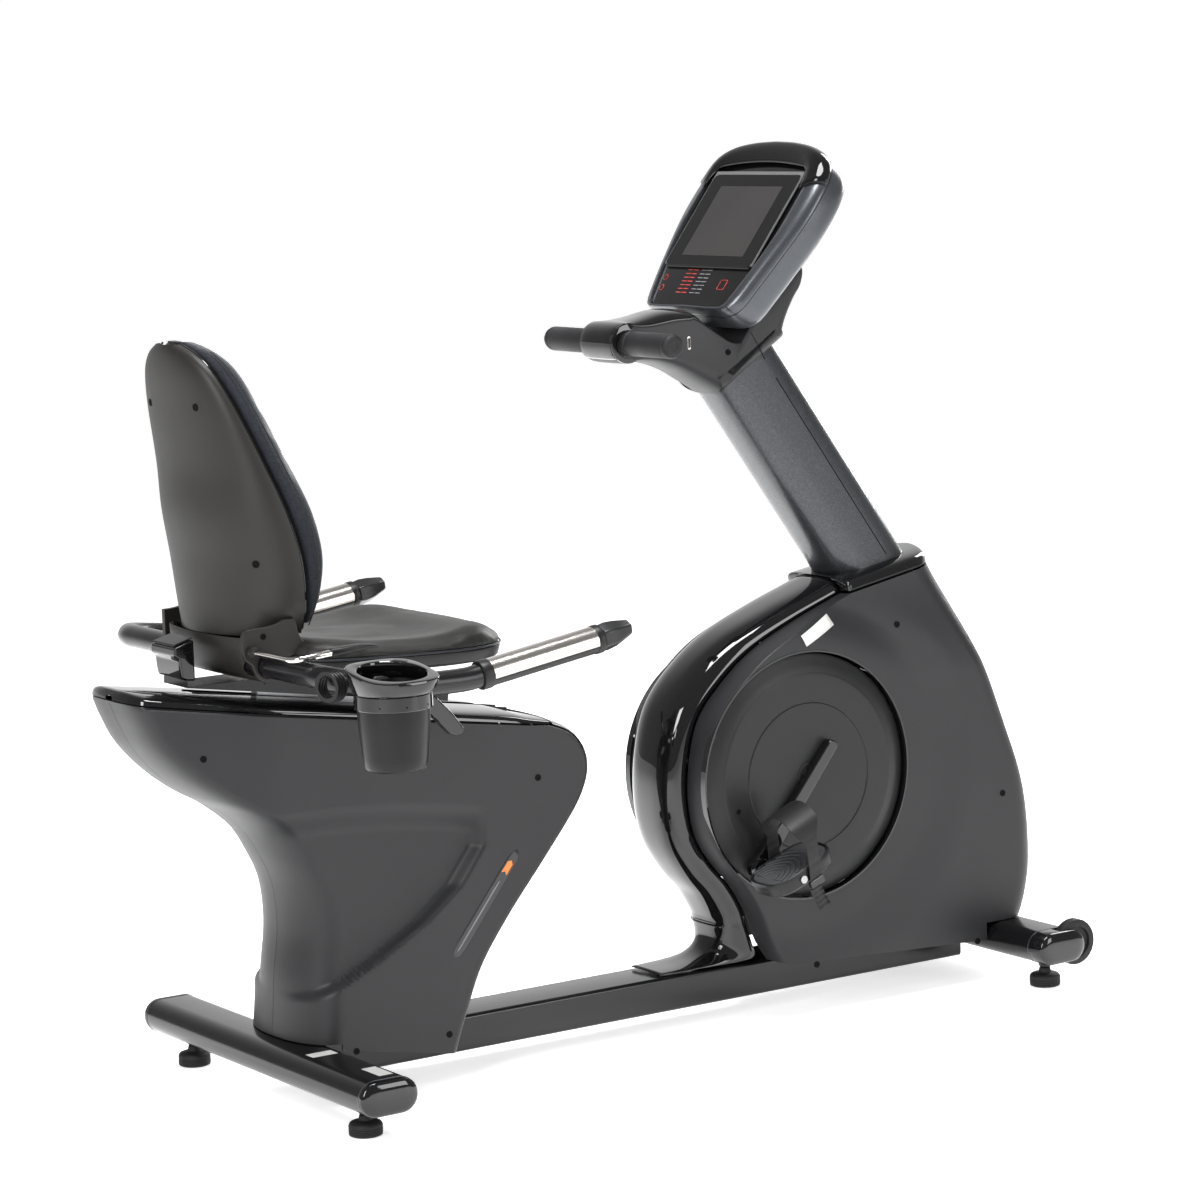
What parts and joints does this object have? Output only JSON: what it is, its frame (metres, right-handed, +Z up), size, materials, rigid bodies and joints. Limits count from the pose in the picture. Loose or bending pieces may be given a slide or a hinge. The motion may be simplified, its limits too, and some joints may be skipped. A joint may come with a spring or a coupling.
{
  "type": "recumbent exercise bike",
  "caption": "Recumbent exercise bike: sliding bucket-back seat on a covered rail, side handlebar, belt-driven crank in a drum housing, tilted console on a mast.",
  "frame": {"origin": "on the floor, under the middle of the whole bike's bounding box", "axes": "+X the way the rider faces, +Y to the rider's left, +Z up"},
  "size_m": [1.567, 0.8357, 1.3192],
  "materials": {
    "matte_shell": "matte moulded shell",
    "gloss_black": "piano-black gloss",
    "frame_paint": "satin black powder coat",
    "mast_paint": "anthracite metallic",
    "console_grey": "satin metallic grey",
    "back_shell": "fine matte texture",
    "black_rubber": "soft black grip",
    "cup_plastic": "black moulded",
    "fabric": "black woven",
    "seat_vinyl": "black-grey vinyl",
    "chrome": "polished",
    "stainless": "brushed",
    "grey_bracket": "satin grey",
    "steel": "machined",
    "cast_iron": "machined rim",
    "aluminium": "extruded or cast",
    "screen": "dark glossy glass over a display"
  },
  "bodies": {
    "frame": {"main_rail": "frame_paint", "seat_post": "frame_paint", "slide_rail": "aluminium", "front_post": "frame_paint", "deck_cover": "gloss_black", "rear_housing_right": "matte_shell", "rear_housing_left": "matte_shell", "rear_trim": "gloss_black", "rear_stabiliser": "frame_paint", "rear_end_cap_right": "gloss_black", "rear_end_cap_left": "gloss_black", "front_stabiliser": "frame_paint", "front_end_cap_right": "gloss_black", "front_end_cap_left": "gloss_black", "front_housing_right": "matte_shell", "front_housing_left": "matte_shell", "spine_cover": "gloss_black", "mast_collar": "gloss_black", "mast": "mast_paint", "neck_cover": "matte_shell", "console_back": "console_grey", "console_bezel": "gloss_black", "tablet_screen": "screen", "console_bar": "frame_paint", "console_grip_right": "black_rubber", "console_grip_left": "black_rubber", "bottom_bracket": "frame_paint", "flywheel_fork": "frame_paint", "brake_coils": "steel", "drive_belt": "black_rubber"},
    "rear_foot_right": {"rear_foot_right": "black_rubber"},
    "rear_foot_left": {"rear_foot_left": "black_rubber"},
    "front_foot_right": {"front_foot_right": "black_rubber"},
    "front_foot_left": {"front_foot_left": "black_rubber"},
    "transport_wheel_right": {"transport_wheel_right": "black_rubber"},
    "transport_wheel_left": {"transport_wheel_left": "black_rubber"},
    "crank": {"crank_axle": "steel", "drive_pulley": "aluminium", "crank_disc_right": "matte_shell", "crank_disc_left": "matte_shell", "crank_arm_right": "gloss_black", "crank_arm_left": "gloss_black"},
    "pedal_right": {"pedal_right": "black_rubber", "pedal_strap_right": "black_rubber"},
    "pedal_left": {"pedal_left": "black_rubber", "pedal_strap_left": "black_rubber"},
    "flywheel": {"flywheel": "cast_iron"},
    "idler": {"idler_wheel": "steel"},
    "seat": {"seat_carriage": "frame_paint", "seat_pan": "cup_plastic", "seat_cushion": "seat_vinyl", "seat_handlebar": "frame_paint", "pulse_grip_right": "stainless", "pulse_grip_left": "stainless", "cup_holder": "cup_plastic"},
    "backrest": {"backrest_shell": "back_shell", "backrest_cushion": "fabric", "backrest_bracket": "grey_bracket"},
    "recline_lever": {"recline_lever": "chrome"},
    "slide_lever": {"slide_lever": "gloss_black"}
  },
  "joints": [
    {"name": "rear_foot_right_turn", "type": "hinge", "parent": "frame", "child": "rear_foot_right", "pos_m": [-0.5505, -0.1994, 0.02], "axis": [0, 0, 1], "continuous": true},
    {"name": "front_foot_right_turn", "type": "hinge", "parent": "frame", "child": "front_foot_right", "pos_m": [0.7095, -0.1419, 0.02], "axis": [0, 0, 1], "continuous": true},
    {"name": "transport_wheel_right_spin", "type": "hinge", "parent": "frame", "child": "transport_wheel_right", "pos_m": [0.7455, -0.1694, 0.069], "axis": [0, 1, 0], "continuous": true},
    {"name": "rear_foot_left_turn", "type": "hinge", "parent": "frame", "child": "rear_foot_left", "pos_m": [-0.5505, 0.3116, 0.02], "axis": [0, 0, 1], "continuous": true},
    {"name": "front_foot_left_turn", "type": "hinge", "parent": "frame", "child": "front_foot_left", "pos_m": [0.7095, 0.2541, 0.02], "axis": [0, 0, 1], "continuous": true},
    {"name": "transport_wheel_left_spin", "type": "hinge", "parent": "frame", "child": "transport_wheel_left", "pos_m": [0.7455, 0.2816, 0.069], "axis": [0, 1, 0], "continuous": true},
    {"name": "crank_spin", "type": "hinge", "parent": "frame", "child": "crank", "pos_m": [0.3295, 0.0561, 0.371], "axis": [0, 1, 0], "continuous": true},
    {"name": "pedal_right_spin", "type": "hinge", "parent": "crank", "child": "pedal_right", "pos_m": [0.2241, -0.1299, 0.24405], "axis": [0, 1, 0], "continuous": true},
    {"name": "pedal_left_spin", "type": "hinge", "parent": "crank", "child": "pedal_left", "pos_m": [0.4349, 0.2421, 0.49795], "axis": [0, 1, 0], "continuous": true},
    {"name": "flywheel_spin", "type": "hinge", "parent": "frame", "child": "flywheel", "pos_m": [0.5645, 0.0561, 0.245], "axis": [0, 1, 0], "continuous": true},
    {"name": "idler_spin", "type": "hinge", "parent": "frame", "child": "idler", "pos_m": [0.39864, 0.0901, 0.21342], "axis": [0, 1, 0], "continuous": true},
    {"name": "seat_slide", "type": "slide", "parent": "frame", "child": "seat", "axis": [0.9871, 0, -0.1599], "range_m": [-0.06, 0.17]},
    {"name": "backrest_recline", "type": "hinge", "parent": "seat", "child": "backrest", "pos_m": [-0.6065, 0.0561, 0.65], "axis": [0, 1, 0], "range_deg": [-18, 5]},
    {"name": "recline_lever_lift", "type": "hinge", "parent": "seat", "child": "recline_lever", "pos_m": [-0.6325, -0.0939, 0.672], "axis": [0, 1, 0], "range_deg": [-18, 0], "stiffness_Nm_per_rad": 2, "springref_deg": 5.73},
    {"name": "slide_lever_lift", "type": "hinge", "parent": "seat", "child": "slide_lever", "pos_m": [-0.4305, -0.1039, 0.604], "axis": [0, 1, 0], "range_deg": [-15, 0], "stiffness_Nm_per_rad": 2, "springref_deg": 5.73}
  ],
  "couplings": [
    {"joint": "flywheel_spin", "follows": "crank_spin", "ratio": 7.3876},
    {"joint": "idler_spin", "follows": "crank_spin", "ratio": -6.65}
  ]
}
